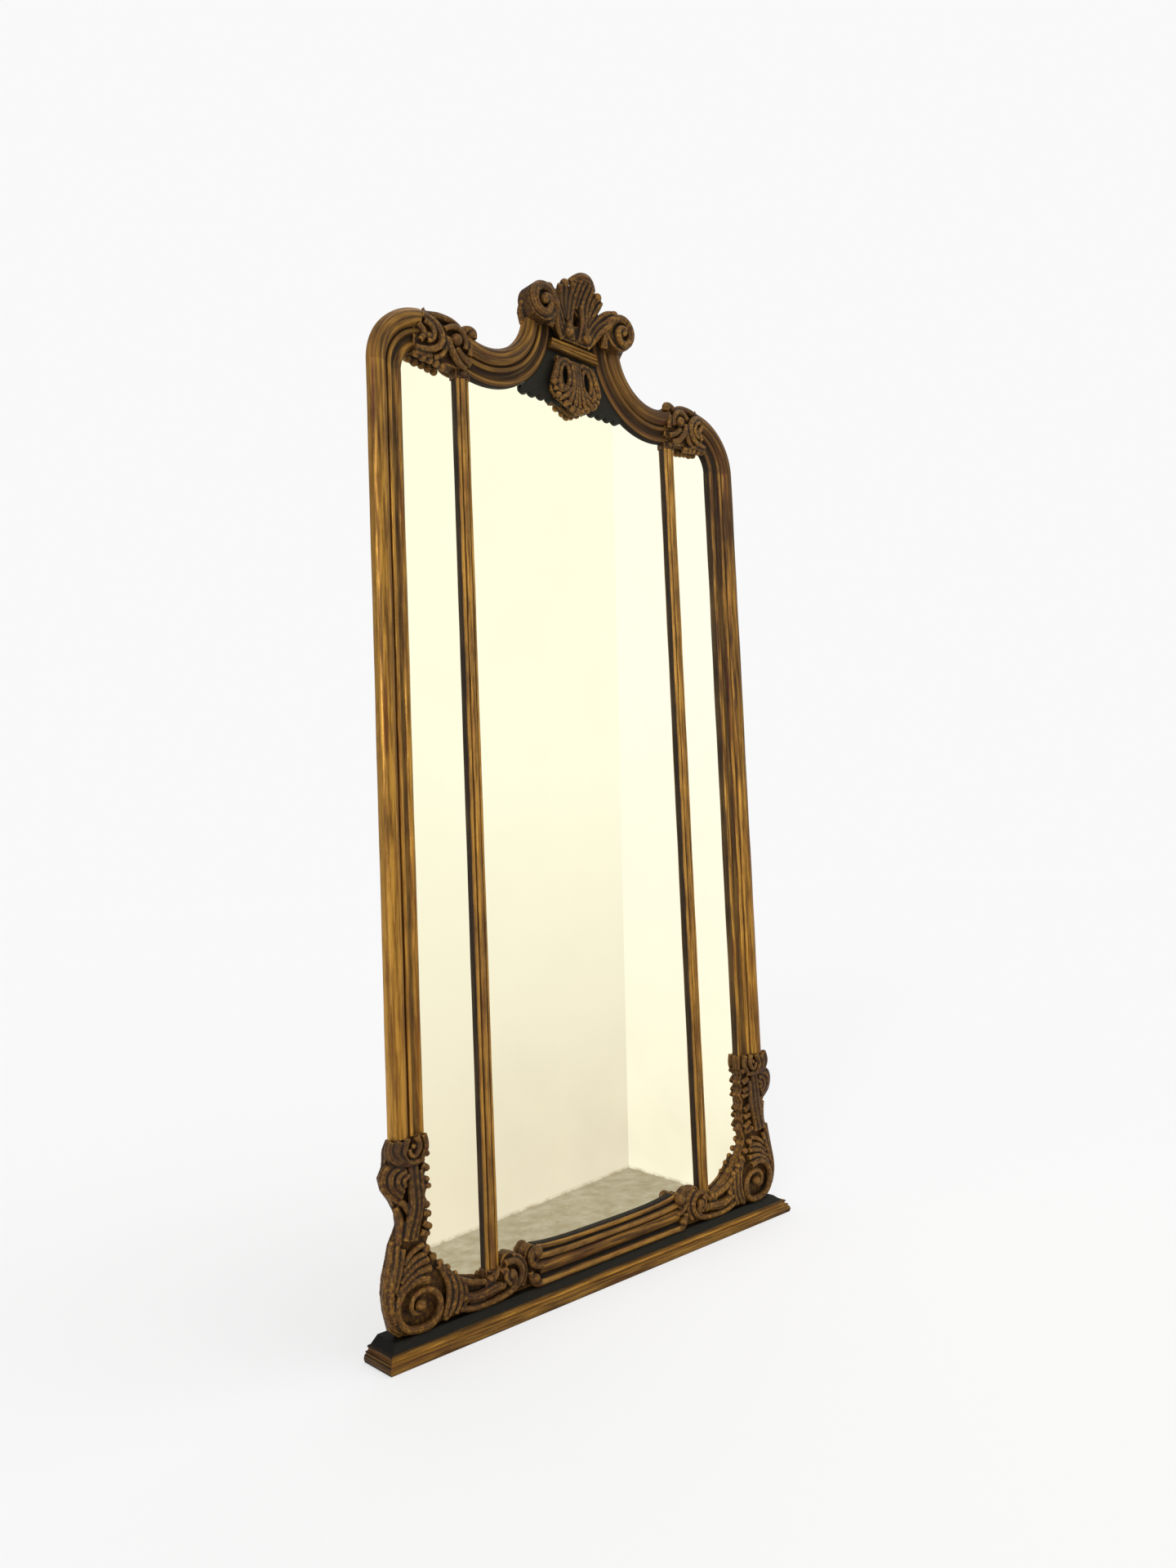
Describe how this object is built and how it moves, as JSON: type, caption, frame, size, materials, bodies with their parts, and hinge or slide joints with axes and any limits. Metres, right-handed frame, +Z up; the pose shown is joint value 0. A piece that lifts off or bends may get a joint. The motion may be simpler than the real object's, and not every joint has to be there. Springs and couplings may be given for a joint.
{
  "type": "trumeau mirror",
  "caption": "Tall standing mirror in three panes with a moulded gilt wood frame, swan-neck top with carved crest, scrolled lower corners and a low moulded plinth.",
  "frame": {"origin": "on the floor, midway across the width and midway through the depth, under the middle of the bounding box", "axes": "+X across the front to the viewer's right, +Y from the front to the back (the mirror faces -Y), +Z up; millimetres in the source"},
  "size_m": [1.022, 0.094, 1.94],
  "materials": {
    "gilt_wood": "antique water gilding over red bole, rubbed and toned dark in the hollows",
    "dark_wood": "wood painted a dull brown black",
    "bare_pine": "bare aged softwood",
    "mirror_glass": "silvered plate glass",
    "plate_steel": "dull zinc",
    "screw_steel": "dull steel"
  },
  "bodies": {
    "root": {"bottom_rail": "gilt_wood", "carcass_bottom_rail": "bare_pine", "carcass_left_stile": "bare_pine", "carcass_middle_rail": "bare_pine", "carcass_right_stile": "bare_pine", "carcass_top_rail": "bare_pine", "centre_backboard": "bare_pine", "centre_glass": "mirror_glass", "crest_batten": "bare_pine", "crest_panel": "dark_wood", "crest_shell": "gilt_wood", "left_backboard": "bare_pine", "left_bar_foot": "gilt_wood", "left_bar_head": "gilt_wood", "left_clasp": "gilt_wood", "left_corner": "gilt_wood", "left_foot_scroll": "gilt_wood", "left_frame_screws": "screw_steel", "left_glass": "mirror_glass", "left_glazing_bar": "gilt_wood", "left_hanging_plate": "plate_steel", "left_neck": "gilt_wood", "left_plate_screws": "screw_steel", "left_rail_curl": "gilt_wood", "left_roll": "gilt_wood", "left_stile": "gilt_wood", "left_stile_leaf": "gilt_wood", "left_volute": "gilt_wood", "pendant": "gilt_wood", "plinth_board": "dark_wood", "plinth_front_moulding": "gilt_wood", "plinth_left_return": "gilt_wood", "plinth_right_return": "gilt_wood", "reeded_bar": "gilt_wood", "right_backboard": "bare_pine", "right_bar_foot": "gilt_wood", "right_bar_head": "gilt_wood", "right_clasp": "gilt_wood", "right_corner": "gilt_wood", "right_foot_scroll": "gilt_wood", "right_frame_screws": "screw_steel", "right_glass": "mirror_glass", "right_glazing_bar": "gilt_wood", "right_hanging_plate": "plate_steel", "right_neck": "gilt_wood", "right_plate_screws": "screw_steel", "right_rail_curl": "gilt_wood", "right_roll": "gilt_wood", "right_stile": "gilt_wood", "right_stile_leaf": "gilt_wood", "right_volute": "gilt_wood"}
  },
  "joints": []
}
